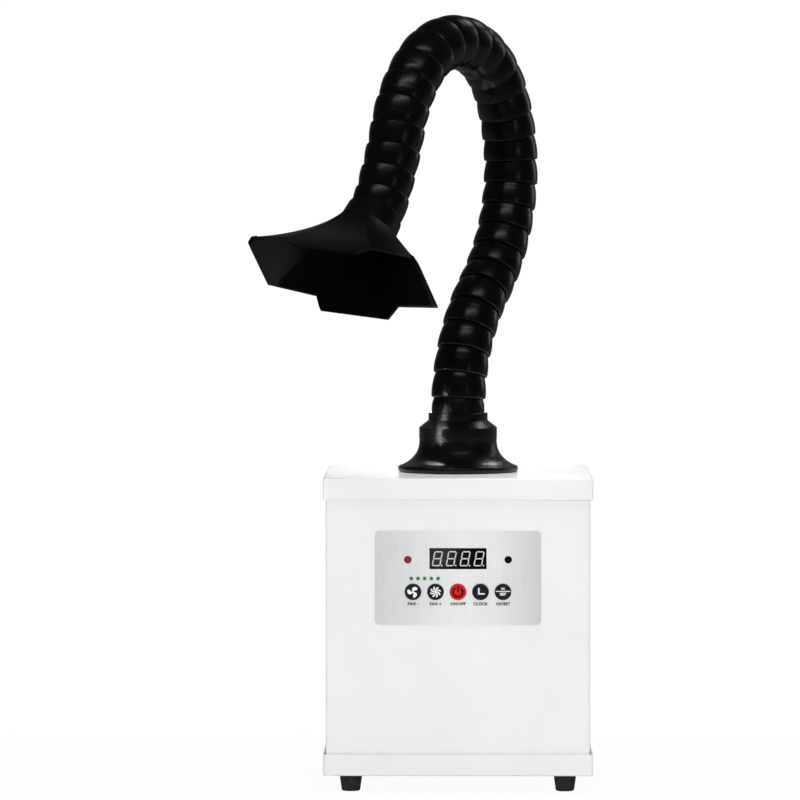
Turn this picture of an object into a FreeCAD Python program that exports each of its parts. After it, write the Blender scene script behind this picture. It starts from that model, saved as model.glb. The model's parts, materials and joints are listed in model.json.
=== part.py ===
import FreeCAD, Part
import math
import os

# Desktop fume extractor: a folded steel cabinet on rubber feet, a lift-off lid, and a
# stay-put arm of ball-jointed cups that carries an eight-panel hood.
# Millimetres. Origin on the floor under the cabinet's middle, +X right, -Y front, +Z up.

V = FreeCAD.Vector
Z_UP = V(0, 0, 1)
CENTRE = V(0, 0, 0)

# Cabinet
SHEET = 1.2
CAP_W = 250.0
BODY_W = 245.0
CAP_H = 20.0
BODY_SHOWN = 236.0
FOOT_H = 16.0
FOOT_R = 10.2
FOOT_TIP_R = 8.7
FOOT_AT = 99.5
FOLD_R = 3.5
FLANGE_W = 12.0
SEAL_T = 3.5
TRAY_Z = FOOT_H
TRAY_TOP = TRAY_Z + CAP_H
LID_Z = TRAY_TOP + BODY_SHOWN
LID_TOP = LID_Z + CAP_H
FLOOR_Z = TRAY_Z + SHEET
SLEEVE_TOP = LID_TOP - SHEET - SEAL_T
FRONT = -BODY_W / 2
INNER = BODY_W / 2 - SHEET

# Control panel, measured from its middle
PANEL_W = 154.0
PANEL_H = 87.2
PANEL_T = 0.8
PANEL_R = 4.6
PANEL_DROP = 28.6
PANEL_Z = LID_Z - PANEL_DROP - PANEL_H / 2
FACE = FRONT - PANEL_T
BOARD_FRONT = FRONT + 11.6
BOARD_T = 1.6
DISPLAY_W = 52.5
DISPLAY_H = 19.2
DISPLAY_Z = PANEL_Z + 17.8
LAMP_X = 46.4
LAMP_Z = DISPLAY_Z - 1.0
LAMP_R = 2.8
LAMP_HOLE_R = 3.5
RECEIVER_R = 3.4
LEVEL_X = -43.2
LEVEL_Z = PANEL_Z - 0.6
LEVEL_STEP = 6.2
LEVEL_R = 1.6
KEY_Z = PANEL_Z - 13.0
KEY_STEP = 20.8
KEY_R = 7.4
KEY_PROUD = 1.5
KEY_GAP = 0.35
KEY_TRAVEL_GAP = 1.1
KEY_NAMES = ("fan_down_button", "fan_up_button", "power_button", "timer_button", "set_button")

# Filters and blower
SHELF_Z = 120.0
FILTER_W = 196.0
FILTER_H = 96.0
FILTER_Y = 10.0
FILTER_WALL = 4.0
PLEAT = 8.0
MEDIA_T = 0.9
PREFILTER_H = 15.0
GASKET_T = 3.0
EYE_R = 52.0
WHEEL_R = 75.0
WHEEL_Z = 52.0
BLADES = 7

# Arm: each cup's lip slides on the dome of the cup before it
PITCH = 22.5
DOME_R = 25.0
WALL = 1.8
GAP = 0.3
SOCKET_R = DOME_R + GAP
LIP_RISE = 9.5
LIP_R = 25.7
DOME_END = 51.5
WEB_Z = 21.0
WEB_T = 1.4
SPIGOT_R = 11.0
SPIGOT_WALL = 1.4
FOOT_END = 72.0
RETAINER_R = DOME_R - WALL - GAP
ARM_TURN = 55.0
BALL_Z = LID_TOP + 60.0
ARM_RUNS = ((1, -4.3), (5, -7.35), (4, 7.0), (5, 8.25), (7, 15.3), (3, 9.3), (3, -3.2))
HOOD_BEND = -16.1
HOOD_ROLL = -9.0

# Hood: x runs across its long side, y across its short side
NECK_R = 28.0
NECK_LIP_R = 26.7
NECK_ROUND = 1.6
THROAT_Z = 30.6
HOOD_WALL = 2.8
FLARE_Z = 57.8
FLARE_NEAR = (25.2, 33.1)
FLARE_SIDE = (59.9, 19.8)
RIM_Z = 81.2
RIM_NEAR = (43.8, 41.5)
RIM_SIDE = (86.3, 35.2)
NEAR_TIP = (47.4, 93.0)
NEAR_TIP_HALF = 35.5
NEAR_ROUND = 6.5
SIDE_TIP = (90.5, 84.2)
SIDE_TIP_HALF = 26.3
SIDE_ROUND = 7.0
FOLD_OUT = 2.5
FOLD_IN = 2.5
RIB_R = 1.6
ROOT = 5.0


def box(x0, y0, z0, x1, y1, z1):
    return Part.makeBox(x1 - x0, y1 - y0, z1 - z0, V(x0, y0, z0))


def upright_edges(shape):
    return [e for e in shape.Edges if abs(e.tangentAt(e.FirstParameter).z) > 0.999]


def round_box(w, d, z0, z1, r, y=0.0):
    solid = box(-w / 2, y - d / 2, z0, w / 2, y + d / 2, z1)
    return solid.makeFillet(r, upright_edges(solid))


def rod(r, length, at, along=Z_UP):
    return Part.makeCylinder(r, length, at, along)


def fuse(shapes):
    return shapes[0].multiFuse(shapes[1:]).removeSplitter()


def spun(path):
    """Solid turned about Z. A path is (r, z) points; a third pair makes an arc through its middle."""
    edges = []
    for a, b in zip(path, path[1:] + path[:1]):
        start = V(a[0], 0, a[1])
        end = V(b[0], 0, b[1])
        if len(b) == 3:
            edges.append(Part.Arc(start, V(b[2][0], 0, b[2][1]), end).toShape())
        else:
            edges.append(Part.makeLine(start, end))
    return Part.Face(Part.Wire(edges)).revolve(CENTRE, Z_UP, 360)


def polar(radius, degrees, z=0.0):
    a = math.radians(degrees)
    return (radius * math.sin(a), z + radius * math.cos(a))


def arc_to(radius, start, end, z=0.0):
    """Arc end point on a sphere about (0, z), between two angles from the axis."""
    return polar(radius, end, z) + (polar(radius, (start + end) / 2, z),)


def front_pin(r, x, z, y0, y1):
    return rod(r, y1 - y0, V(x, y0, z), V(0, 1, 0))


def domed_lamp(r, x, z, tip):
    """Lamp with a round nose, standing on the control board."""
    shoulder = tip + r
    nose = Part.makeSphere(r, V(x, shoulder, z))
    return fuse([front_pin(r, x, z, shoulder, BOARD_FRONT), nose])


def folded_cap(z0, z1, closed_at):
    """Square folded tray, open on the side away from closed_at."""
    outer = round_box(CAP_W, CAP_W, z0, z1, FOLD_R)
    rim = [e for e in outer.Edges if abs(e.CenterOfMass.z - closed_at) < 0.01]
    outer = outer.makeFillet(SHEET + 0.4, rim)
    low = z0 + SHEET if closed_at == z0 else z0 - 1
    high = z1 - SHEET if closed_at == z1 else z1 + 1
    return outer.cut(round_box(CAP_W - 2 * SHEET, CAP_W - 2 * SHEET, low, high, FOLD_R - SHEET))


def four_corners(x, y):
    return [(sx * x, sy * y) for sx in (-1, 1) for sy in (-1, 1)]


nodes = {}
FEET = four_corners(FOOT_AT, FOOT_AT)
KEY_XS = [(i - 2) * KEY_STEP for i in range(5)]
LEVEL_XS = [LEVEL_X + i * LEVEL_STEP for i in range(5)]

# Base tray with the foot holes
SCREW_R = 2.0
HOLE_R = 2.2
tray = folded_cap(TRAY_Z, TRAY_TOP, TRAY_Z)
tray = tray.cut(Part.Compound([rod(HOLE_R, 4, V(x, y, TRAY_Z - 1)) for x, y in FEET]))
nodes["base_tray"] = tray

# Tapered feet, each with a recessed screw
RECESS_R = 5.0
RECESS_H = 6.0
TIP_ROUND = 1.6
foot = spun([
    (HOLE_R, RECESS_H), (RECESS_R, RECESS_H), (RECESS_R, 0), (FOOT_TIP_R - TIP_ROUND, 0),
    (FOOT_TIP_R, TIP_ROUND, (FOOT_TIP_R - 0.47, 0.47)), (FOOT_R, FOOT_H - 4), (FOOT_R, FOOT_H),
    (HOLE_R, FOOT_H),
])
HEAD_R = 4.0
HEAD_H = 2.6
NUT_R = 4.0
NUT_H = 3.2
screw = fuse([
    rod(HEAD_R, HEAD_H, V(0, 0, RECESS_H - HEAD_H)),
    rod(SCREW_R, FLOOR_Z + NUT_H + 1 - RECESS_H, V(0, 0, RECESS_H)),
])
hexagon = Part.makePolygon([
    V(NUT_R * math.cos(k * math.pi / 3), NUT_R * math.sin(k * math.pi / 3), FLOOR_Z) for k in range(7)
])
screw = fuse([screw, Part.Face(hexagon).extrude(V(0, 0, NUT_H))])
screw = screw.cut(box(-HEAD_R, -0.5, RECESS_H - HEAD_H - 1, HEAD_R, 0.5, RECESS_H - HEAD_H + 1))
nodes["rubber_feet"] = Part.Compound([foot.translated(V(x, y, 0)) for x, y in FEET])
nodes["foot_screws"] = Part.Compound([screw.translated(V(x, y, 0)) for x, y in FEET])

# Sleeve: four walls with inward flanges, notched at the corners
NOTCH = 5.0
sleeve = round_box(BODY_W, BODY_W, FLOOR_Z, SLEEVE_TOP, FOLD_R)
sleeve = sleeve.cut(round_box(2 * INNER, 2 * INNER, FLOOR_Z + SHEET, SLEEVE_TOP - SHEET, FOLD_R - SHEET))
mouth = INNER - FLANGE_W
cuts = [box(-mouth, -mouth, FLOOR_Z - 1, mouth, mouth, SLEEVE_TOP + 1)]
for x, y in four_corners(INNER - FOLD_R, INNER - FOLD_R):
    inward_x = x - math.copysign(FLANGE_W + NOTCH, x)
    inward_y = y - math.copysign(FLANGE_W + NOTCH, y)
    corner = (min(x, inward_x), min(y, inward_y), max(x, inward_x), max(y, inward_y))
    for z in (FLOOR_Z - 1, SLEEVE_TOP - SHEET - 1):
        cuts.append(box(corner[0], corner[1], z, corner[2], corner[3], z + SHEET + 2))

# Openings behind the control panel
FIT = 0.2
display_gap = box(-DISPLAY_W / 2 - FIT, FACE - 1, DISPLAY_Z - DISPLAY_H / 2 - FIT,
                  DISPLAY_W / 2 + FIT, FRONT + 3, DISPLAY_Z + DISPLAY_H / 2 + FIT)
panel_cuts = [display_gap]
panel_cuts.append(front_pin(LAMP_HOLE_R, -LAMP_X, LAMP_Z, FACE - 1, FRONT + 3))
panel_cuts.append(front_pin(LAMP_HOLE_R, LAMP_X, LAMP_Z, FACE - 1, FRONT + 3))
for x in LEVEL_XS:
    panel_cuts.append(front_pin(LEVEL_R + 0.15, x, LEVEL_Z, FACE - 1, FRONT + 3))
for x in KEY_XS:
    panel_cuts.append(front_pin(KEY_R + KEY_GAP, x, KEY_Z, FACE - 1, FRONT + 3))
panel_gaps = Part.Compound(panel_cuts)

# Rear wall: two rows of exhaust slots and the inlet's opening
SLOT_W = 3.6
SLOT_L = 38.0
SLOT_STEP = 8.6
SLOT_ROWS = (64.0, 108.0)
SLOT_COLUMNS = 15
SLOT_X = -98.0
INLET_X = 84.0
INLET_Z = 66.0
INLET_W = 27.4
INLET_H = 20.0
REAR = BODY_W / 2
for row in SLOT_ROWS:
    for i in range(SLOT_COLUMNS):
        slot = box(-SLOT_W / 2, REAR - 4, -SLOT_L / 2, SLOT_W / 2, REAR + 4, SLOT_L / 2)
        ends = [e for e in slot.Edges if abs(e.tangentAt(e.FirstParameter).y) > 0.999]
        slot = slot.makeFillet(SLOT_W / 2 - 0.05, ends)
        cuts.append(slot.translated(V(SLOT_X + i * SLOT_STEP, 0, row)))
cuts.append(box(INLET_X - INLET_W / 2 - FIT, REAR - 4, INLET_Z - INLET_H / 2 - FIT,
                INLET_X + INLET_W / 2 + FIT, REAR + 4, INLET_Z + INLET_H / 2 + FIT))
INLET_SCREW_X = 20.0
for side in (-1, 1):
    cuts.append(front_pin(1.7, INLET_X + side * INLET_SCREW_X, INLET_Z, REAR - 4, REAR + 4))
nodes["cabinet_sleeve"] = sleeve.cut(Part.Compound(cuts)).cut(panel_gaps)

# Control panel plate
plate = box(-PANEL_W / 2, FACE, PANEL_Z - PANEL_H / 2, PANEL_W / 2, FRONT, PANEL_Z + PANEL_H / 2)
plate = plate.makeFillet(PANEL_R, [e for e in plate.Edges if abs(e.tangentAt(e.FirstParameter).y) > 0.999])
nodes["control_panel"] = plate.cut(panel_gaps)

# Display block with a stepped foot, lamps and receiver on the board
DISPLAY_RECESS = 0.2
display = box(-DISPLAY_W / 2, FACE + DISPLAY_RECESS, DISPLAY_Z - DISPLAY_H / 2,
              DISPLAY_W / 2, BOARD_FRONT - 1.5, DISPLAY_Z + DISPLAY_H / 2)
display_foot = box(-DISPLAY_W / 2 + 2, BOARD_FRONT - 1.5, DISPLAY_Z - DISPLAY_H / 2 + 2,
                   DISPLAY_W / 2 - 2, BOARD_FRONT, DISPLAY_Z + DISPLAY_H / 2 - 2)
nodes["display_module"] = fuse([display, display_foot])
nodes["power_lamp"] = domed_lamp(LAMP_R, -LAMP_X, LAMP_Z, FACE + 0.3)
nodes["remote_receiver"] = fuse([
    front_pin(RECEIVER_R, LAMP_X, LAMP_Z, FACE + 0.1, BOARD_FRONT),
    box(LAMP_X - 5, FRONT + 4, LAMP_Z - 5, LAMP_X + 5, BOARD_FRONT, LAMP_Z + 5),
])
nodes["level_lamps"] = Part.Compound([domed_lamp(LEVEL_R, x, LEVEL_Z, FACE - 0.2) for x in LEVEL_XS])

# Push buttons: cap, retaining flange behind the wall, stem
KEY_FLANGE_R = 9.0
KEY_FLANGE_T = 1.5
STEM_R = 2.2
SWITCH_H = 3.6
SWITCH_HALF = 3.0
flange_front = FRONT + SHEET + 0.3
stem_end = BOARD_FRONT - SWITCH_H - KEY_TRAVEL_GAP
key_front = FACE - KEY_PROUD
cap = front_pin(KEY_R, 0, 0, key_front, flange_front)
cap = cap.makeFillet(0.5, [e for e in cap.Edges if abs(e.CenterOfMass.y - key_front) < 0.01])
cap = fuse([
    cap,
    front_pin(KEY_FLANGE_R, 0, 0, flange_front, flange_front + KEY_FLANGE_T),
    front_pin(STEM_R, 0, 0, flange_front + KEY_FLANGE_T, stem_end),
])
for name, x in zip(KEY_NAMES, KEY_XS):
    nodes[name] = cap.translated(V(x, 0, KEY_Z))

# Control board with soldered key switches, on four spacers
BOARD_W = 136.0
BOARD_H = 70.0
SPACER_R = 3.0
board = box(-BOARD_W / 2, BOARD_FRONT, PANEL_Z - BOARD_H / 2, BOARD_W / 2, BOARD_FRONT + BOARD_T,
            PANEL_Z + BOARD_H / 2)
solids = [board]
for x in KEY_XS:
    solids.append(box(x - SWITCH_HALF, BOARD_FRONT - SWITCH_H + 1.2, KEY_Z - SWITCH_HALF,
                      x + SWITCH_HALF, BOARD_FRONT, KEY_Z + SWITCH_HALF))
    solids.append(front_pin(1.7, x, KEY_Z, BOARD_FRONT - SWITCH_H, BOARD_FRONT))
solids.append(box(-20, BOARD_FRONT + BOARD_T, PANEL_Z - 8, 4, BOARD_FRONT + BOARD_T + 3, PANEL_Z + 4))
solids.append(box(34, BOARD_FRONT + BOARD_T, PANEL_Z - 20, 60, BOARD_FRONT + BOARD_T + 8, PANEL_Z - 12))
board = fuse(solids)
spacer_at = [(x, PANEL_Z + z) for x, z in four_corners(BOARD_W / 2 - 5, BOARD_H / 2 - 5)]
board = board.cut(Part.Compound([
    front_pin(1.6, x, z, BOARD_FRONT - 1, BOARD_FRONT + BOARD_T + 1) for x, z in spacer_at
]))
nodes["control_board"] = board
nodes["board_spacers"] = Part.Compound([
    front_pin(SPACER_R, x, z, FRONT + SHEET, BOARD_FRONT) for x, z in spacer_at
])

# Shelf under the filters: folded edges and a bell mouth that feeds the wheel
shelf = box(-INNER, -INNER, SHELF_Z - FLANGE_W, INNER, INNER, SHELF_Z)
shelf = shelf.cut(box(-INNER + SHEET, -INNER + SHEET, SHELF_Z - FLANGE_W - 1,
                      INNER - SHEET, INNER - SHEET, SHELF_Z - SHEET))
for x, y in four_corners(INNER - FOLD_R, INNER - FOLD_R):
    shelf = shelf.cut(box(x - FOLD_R, y - FOLD_R, SHELF_Z - FLANGE_W - 1,
                          x + FOLD_R, y + FOLD_R, SHELF_Z + 1))
BELL_R = 14.0
bell_edge = EYE_R + BELL_R
shelf = shelf.cut(rod(bell_edge, 8, V(0, FILTER_Y, SHELF_Z - 4)))
lean = BELL_R * (1 - math.sqrt(0.5))
bell = spun([
    (bell_edge, SHELF_Z), (EYE_R, SHELF_Z - BELL_R, (EYE_R + lean, SHELF_Z - lean)),
    (EYE_R + SHEET, SHELF_Z - BELL_R),
    (bell_edge, SHELF_Z - SHEET, (EYE_R + SHEET + lean * 0.914, SHELF_Z - SHEET - lean * 0.914)),
])
nodes["filter_shelf"] = fuse([shelf, bell.translated(V(0, FILTER_Y, 0))])

# Filter stack: seal, pleated cartridge, foam pad
def filter_ring(inset, z0, z1):
    ring = round_box(FILTER_W, FILTER_W, z0, z1, 3.0, FILTER_Y)
    hole = FILTER_W - 2 * inset
    return ring.cut(box(-hole / 2, FILTER_Y - hole / 2, z0 - 1, hole / 2, FILTER_Y + hole / 2, z1 + 1))


frame_z = SHELF_Z + GASKET_T
frame_top = frame_z + FILTER_H
nodes["filter_seal"] = filter_ring(12.0, SHELF_Z, frame_z)
lip_low = filter_ring(12.0, frame_z, frame_z + 2)
lip_high = filter_ring(12.0, frame_top - 2, frame_top)
nodes["filter_frame"] = fuse([filter_ring(FILTER_WALL, frame_z, frame_top), lip_low, lip_high])
media_half = FILTER_W / 2 - FILTER_WALL
media_low = frame_z + 3
media_high = frame_top - 3
folds = int(2 * media_half / PLEAT)
first = FILTER_Y - folds * PLEAT / 2
fold_line = []
for i in range(2 * folds):
    z = media_low if i % 2 == 0 else media_high
    fold_line += [V(-media_half, first + i * PLEAT / 2, z), V(-media_half, first + (i + 1) * PLEAT / 2, z)]
pleats = Part.makePolygon(fold_line).makeOffset2D(MEDIA_T / 2, 2, False, False, False)
nodes["filter_media"] = Part.Face(pleats).extrude(V(2 * media_half, 0, 0))
pad = round_box(FILTER_W, FILTER_W, frame_top, frame_top + PREFILTER_H, 3.0, FILTER_Y)
nodes["prefilter_pad"] = pad.makeFillet(2.0, [e for e in pad.Edges if e.CenterOfMass.z > frame_top + 14.9])

# Motor on a folded bracket, and the backward-curved wheel that turns on it
BRACKET_Z = 38.0
BRACKET_W = 50.0
BRACKET_L = 180.0
BRACKET_T = 2.0
MOTOR_R = 36.0
MOTOR_H = 8.0
BORE_R = 5.0
SHAFT_R = 4.6
hat = [
    (-BRACKET_L / 2 - 18, FLOOR_Z), (-BRACKET_L / 2, FLOOR_Z), (-BRACKET_L / 2, BRACKET_Z - BRACKET_T),
    (BRACKET_L / 2, BRACKET_Z - BRACKET_T), (BRACKET_L / 2, FLOOR_Z), (BRACKET_L / 2 + 18, FLOOR_Z),
    (BRACKET_L / 2 + 18, FLOOR_Z + BRACKET_T), (BRACKET_L / 2 + BRACKET_T, FLOOR_Z + BRACKET_T),
    (BRACKET_L / 2 + BRACKET_T, BRACKET_Z), (-BRACKET_L / 2 - BRACKET_T, BRACKET_Z),
    (-BRACKET_L / 2 - BRACKET_T, FLOOR_Z + BRACKET_T), (-BRACKET_L / 2 - 18, FLOOR_Z + BRACKET_T),
]
strip = [V(x, FILTER_Y - BRACKET_W / 2, z) for x, z in hat]
bracket = Part.Face(Part.makePolygon(strip + strip[:1])).extrude(V(0, BRACKET_W, 0))
nodes["motor_bracket"] = bracket.cut(rod(9.0, 6, V(0, FILTER_Y, BRACKET_Z - 4)))
motor = spun([
    (BORE_R, BRACKET_Z), (MOTOR_R, BRACKET_Z), (MOTOR_R, BRACKET_Z + MOTOR_H - 1.5),
    (MOTOR_R - 1.5, BRACKET_Z + MOTOR_H), (26.0, BRACKET_Z + MOTOR_H), (26.0, WHEEL_Z + 26),
    (BORE_R, WHEEL_Z + 26),
])
nodes["motor"] = motor.translated(V(0, FILTER_Y, 0))
BACK_T = 2.0
HUB_R = 34.0
HUB_INNER_R = 27.5
HUB_TOP = WHEEL_Z + 34.0
BLADE_TOP = SHELF_Z - BELL_R - 8
SHROUD_Z = SHELF_Z - BELL_R - 0.5
hub = spun([
    (0, HUB_TOP - 4), (0, HUB_TOP), (HUB_R - 4, HUB_TOP), (HUB_R, HUB_TOP - 4), (HUB_R, WHEEL_Z),
    (WHEEL_R, WHEEL_Z), (WHEEL_R, WHEEL_Z - BACK_T), (HUB_INNER_R, WHEEL_Z - BACK_T),
    (HUB_INNER_R, HUB_TOP - 4),
])
shaft = rod(SHAFT_R, HUB_TOP - 2 - BRACKET_Z - 2, V(0, 0, BRACKET_Z + 2))
shroud = spun([
    (EYE_R + 4, SHROUD_Z), (WHEEL_R, BLADE_TOP), (WHEEL_R, BLADE_TOP - 1.6), (EYE_R + 4, SHROUD_Z - 1.6),
])
blade_path = Part.Arc(V(44, 0, WHEEL_Z), V(61, -10, WHEEL_Z), V(70, -26, WHEEL_Z)).toShape()
blade = blade_path.extrude(V(0, 0, BLADE_TOP + 4 - WHEEL_Z)).makeOffsetShape(1.6, 0.01, fill=True)
above = spun([
    (EYE_R - 12, SHROUD_Z + 3.35), (WHEEL_R + 4, BLADE_TOP - 1.7), (WHEEL_R + 4, SHELF_Z),
    (EYE_R - 12, SHELF_Z),
])
blade = blade.cut(above)
blades = [blade.rotated(CENTRE, Z_UP, k * 360 / BLADES) for k in range(BLADES)]
nodes["impeller"] = fuse([hub, shaft, shroud] + blades).translated(V(0, FILTER_Y, 0))

# Supply board on pillars on the tray floor: transformer, two capacitors, a heat sink
SUPPLY_Y = -96.0
SUPPLY_W = 110.0
SUPPLY_D = 36.0
PILLAR_H = 6.0
PILLAR_IN = 9.0
TRANSFORMER = (30.0, 28.0, 24.4)
HEAT_SINK = (14.0, 24.0, 12.4)
board_low = FLOOR_Z + PILLAR_H
board_high = board_low + BOARD_T


def standing(size, x):
    """Block of the given width, depth and height that stands on the supply board."""
    width, depth, height = size
    return box(x - width / 2, SUPPLY_Y - depth / 2, board_high,
               x + width / 2, SUPPLY_Y + depth / 2, board_high + height)


supply_parts = [
    box(-SUPPLY_W / 2, SUPPLY_Y - SUPPLY_D / 2, board_low,
        SUPPLY_W / 2, SUPPLY_Y + SUPPLY_D / 2, board_high),
    standing(TRANSFORMER, -29),
    rod(8, 26, V(4, SUPPLY_Y - 6, board_high)),
    rod(6, 20, V(24, SUPPLY_Y + 6, board_high)),
    standing(HEAT_SINK, 43),
]
for x, y in four_corners(SUPPLY_W / 2 - 5, SUPPLY_D / 2 - PILLAR_IN):
    supply_parts.append(rod(SPACER_R, PILLAR_H, V(x, SUPPLY_Y + y, FLOOR_Z)))
nodes["supply_board"] = fuse(supply_parts)

# Mains inlet: screwed flange, recessed mouth, three blades
INLET_FLANGE_W = 50.0
INLET_FLANGE_H = 23.0
INLET_FLANGE_T = 2.6
MOUTH_W = 24.4
MOUTH_H = 16.6
MOUTH_DEPTH = 16.5
BLADE_LENGTH = 13.0
rear_face = REAR + INLET_FLANGE_T
inlet_flange = box(-INLET_FLANGE_W / 2, REAR, -INLET_FLANGE_H / 2,
                   INLET_FLANGE_W / 2, rear_face, INLET_FLANGE_H / 2)
inlet_flange = inlet_flange.makeFillet(
    5.0, [e for e in inlet_flange.Edges if abs(e.tangentAt(e.FirstParameter).y) > 0.999])
inlet_body = box(-INLET_W / 2, REAR - 17, -INLET_H / 2, INLET_W / 2, REAR, INLET_H / 2)
half_w = MOUTH_W / 2
half_h = MOUTH_H / 2
CLIP = 5.0
mouth_line = [
    V(x, rear_face + 1, z) for x, z in (
        (-half_w, -half_h), (half_w, -half_h), (half_w, half_h - CLIP), (half_w - CLIP, half_h),
        (-half_w + CLIP, half_h), (-half_w, half_h - CLIP))
]
mouth_cut = Part.Face(Part.makePolygon(mouth_line + mouth_line[:1])).extrude(V(0, -MOUTH_DEPTH - 1, 0))
inlet = fuse([inlet_flange, inlet_body]).cut(mouth_cut)
floor_y = rear_face - MOUTH_DEPTH
inlet_cuts = [front_pin(1.7, side * INLET_SCREW_X, 0, REAR - 1, rear_face + 1) for side in (-1, 1)]
inlet = inlet.cut(Part.Compound(inlet_cuts))
blade_at = [(-7.0, -2.0), (7.0, -2.0), (0.0, 2.0)]
pins = [box(x - 1, floor_y, z - 2, x + 1, floor_y + BLADE_LENGTH, z + 2) for x, z in blade_at]
bolts = []
for side in (-1, 1):
    at = side * INLET_SCREW_X
    bolts.append(fuse([
        front_pin(1.5, at, 0, REAR - SHEET - 3, rear_face),
        front_pin(2.8, at, 0, rear_face, rear_face + 1.6),
    ]))
here = V(INLET_X, 0, INLET_Z)
nodes["mains_inlet"] = inlet.translated(here)
nodes["inlet_pins"] = Part.Compound([s.translated(here) for s in pins + bolts])

# Lid, its foam seal, and the flared arm base bolted on from below
DUCT_R = 33.0
BOLT_RING = 45.0
bolt_at = [(BOLT_RING * math.cos(a), BOLT_RING * math.sin(a))
           for a in (math.radians(45 + 90 * k) for k in range(4))]
lid = folded_cap(LID_Z, LID_TOP, LID_TOP)
lid_cuts = [rod(DUCT_R, 6, V(0, 0, LID_TOP - 4))]
lid_cuts += [rod(HOLE_R, 6, V(x, y, LID_TOP - 4)) for x, y in bolt_at]
nodes["lid"] = lid.cut(Part.Compound(lid_cuts))
seal_w = 2 * INNER - 2 * FOLD_R
seal = round_box(seal_w, seal_w, SLEEVE_TOP, LID_TOP - SHEET, 3.0)
nodes["lid_seal"] = seal.cut(box(-mouth, -mouth, SLEEVE_TOP - 1, mouth, mouth, LID_TOP))

FLARE_R = 56.6
BARREL_R = 36.8
COLLAR_R = 28.0
COLLAR_TOP = 56.0
ball = BALL_Z - LID_TOP
inner_r = DOME_R - WALL
base = spun([
    (DUCT_R, 0), (FLARE_R - 2.4, 0), (FLARE_R, 3.2, (FLARE_R - 0.6, 1.1)),
    (FLARE_R - 2.6, 6.4, (FLARE_R - 0.65, 5.3)), (FLARE_R - 5.4, 7.6), (39.4, 18.2, (44.2, 12.4)),
    (BARREL_R, 33.0, (37.0, 25.2)), (BARREL_R, 42.0), (BARREL_R - 1, 42.8), (COLLAR_R + 0.6, 48.4),
    (COLLAR_R, 49.2), (COLLAR_R, COLLAR_TOP - 0.8), (COLLAR_R - 0.8, COLLAR_TOP), (DOME_R, COLLAR_TOP),
    (DOME_R, ball), arc_to(DOME_R, 90, DOME_END, ball), polar(inner_r, DOME_END, ball),
    arc_to(inner_r, DOME_END, 90, ball), (inner_r, 49.0), (DUCT_R, 40.0),
])
BOLT_DEEP = 9.0
base = base.cut(Part.Compound([rod(SCREW_R, BOLT_DEEP, V(x, y, 0)) for x, y in bolt_at]))
nodes["arm_base"] = base.translated(V(0, 0, LID_TOP))
bolt = fuse([
    rod(HEAD_R, HEAD_H, V(0, 0, LID_TOP - SHEET - HEAD_H)),
    rod(SCREW_R - 0.1, SHEET + BOLT_DEEP - 1, V(0, 0, LID_TOP - SHEET)),
])
bolt = bolt.cut(rod(1.6, 1.6, V(0, 0, LID_TOP - SHEET - HEAD_H)))
nodes["base_bolts"] = Part.Compound([bolt.translated(V(x, y, 0)) for x, y in bolt_at])

# One cup: rounded lip with a ball seat, bulged skirt that runs into the dome for the next cup, web inside
def seat(z):
    return (math.sqrt(SOCKET_R ** 2 - z ** 2), z)


def rounded(r, z, size):
    """Quarter round from the underside at z to the side at radius r."""
    off = size * (1 - math.sqrt(0.5))
    return [(r - size, z), (r, z + size, (r - off, z + off))]


SEAT_TOP = 11.7
LIP_ROUND = 1.6
SKIRT_END = 84.0
SKIRT_BULGE = 0.5
SKIRT_IN = 23.8
SKIRT_IN_TOP = 23.4
web_top = WEB_Z + WEB_T
lip_mid = (LIP_RISE + SEAT_TOP) / 2
skirt_top = polar(DOME_R, SKIRT_END, PITCH)
skirt_mid = ((LIP_R + skirt_top[0]) / 2 + SKIRT_BULGE, (LIP_RISE + LIP_ROUND + skirt_top[1]) / 2)
cup = spun([
    seat(LIP_RISE) + (seat(lip_mid),), *rounded(LIP_R, LIP_RISE, LIP_ROUND), skirt_top + (skirt_mid,),
    arc_to(DOME_R, SKIRT_END, DOME_END, PITCH), polar(inner_r, DOME_END, PITCH),
    arc_to(inner_r, DOME_END, 90, PITCH), (inner_r, web_top), (SPIGOT_R, web_top), (SPIGOT_R, WEB_Z),
    (SKIRT_IN_TOP, WEB_Z), (SKIRT_IN, SEAT_TOP + 1.3), seat(SEAT_TOP),
])

# Retainer: a bell that hangs through the previous dome and snaps into the web
spigot_in = SPIGOT_R - SPIGOT_WALL
bell_in = RETAINER_R - WALL
outer_start = math.degrees(math.asin(SPIGOT_R / RETAINER_R))
inner_start = math.degrees(math.asin(spigot_in / bell_in))
retainer = spun([
    (spigot_in, web_top), (SPIGOT_R, web_top), polar(RETAINER_R, outer_start),
    arc_to(RETAINER_R, outer_start, FOOT_END), polar(bell_in, FOOT_END),
    arc_to(bell_in, FOOT_END, inner_start),
])

# Arm line in an upright plane turned about Z; each bend is between neighbouring cups
turn = math.radians(ARM_TURN)
reach = V(-math.cos(turn), -math.sin(turn), 0)
across = Z_UP.cross(reach)
bends = [bend for count, bend in ARM_RUNS for _ in range(count)]


def heading(degrees):
    t = math.radians(degrees)
    return reach * math.sin(t) + Z_UP * math.cos(t)


def placed(shape, at, lean, roll=0.0):
    axis = heading(lean)
    spin = FreeCAD.Rotation(axis, roll)
    x_axis = spin.multVec(across)
    pose = FreeCAD.Rotation(x_axis, axis.cross(x_axis), axis, "ZXY")
    out = shape.copy()
    out.Placement = FreeCAD.Placement(at, pose)
    return out


at = V(0, 0, BALL_Z)
lean = 0.0
for number, bend in enumerate(bends, 1):
    lean += bend
    nodes["arm_cup_%02d" % number] = placed(Part.Compound([cup, retainer]), at, lean)
    at = at + heading(lean) * PITCH

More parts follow.
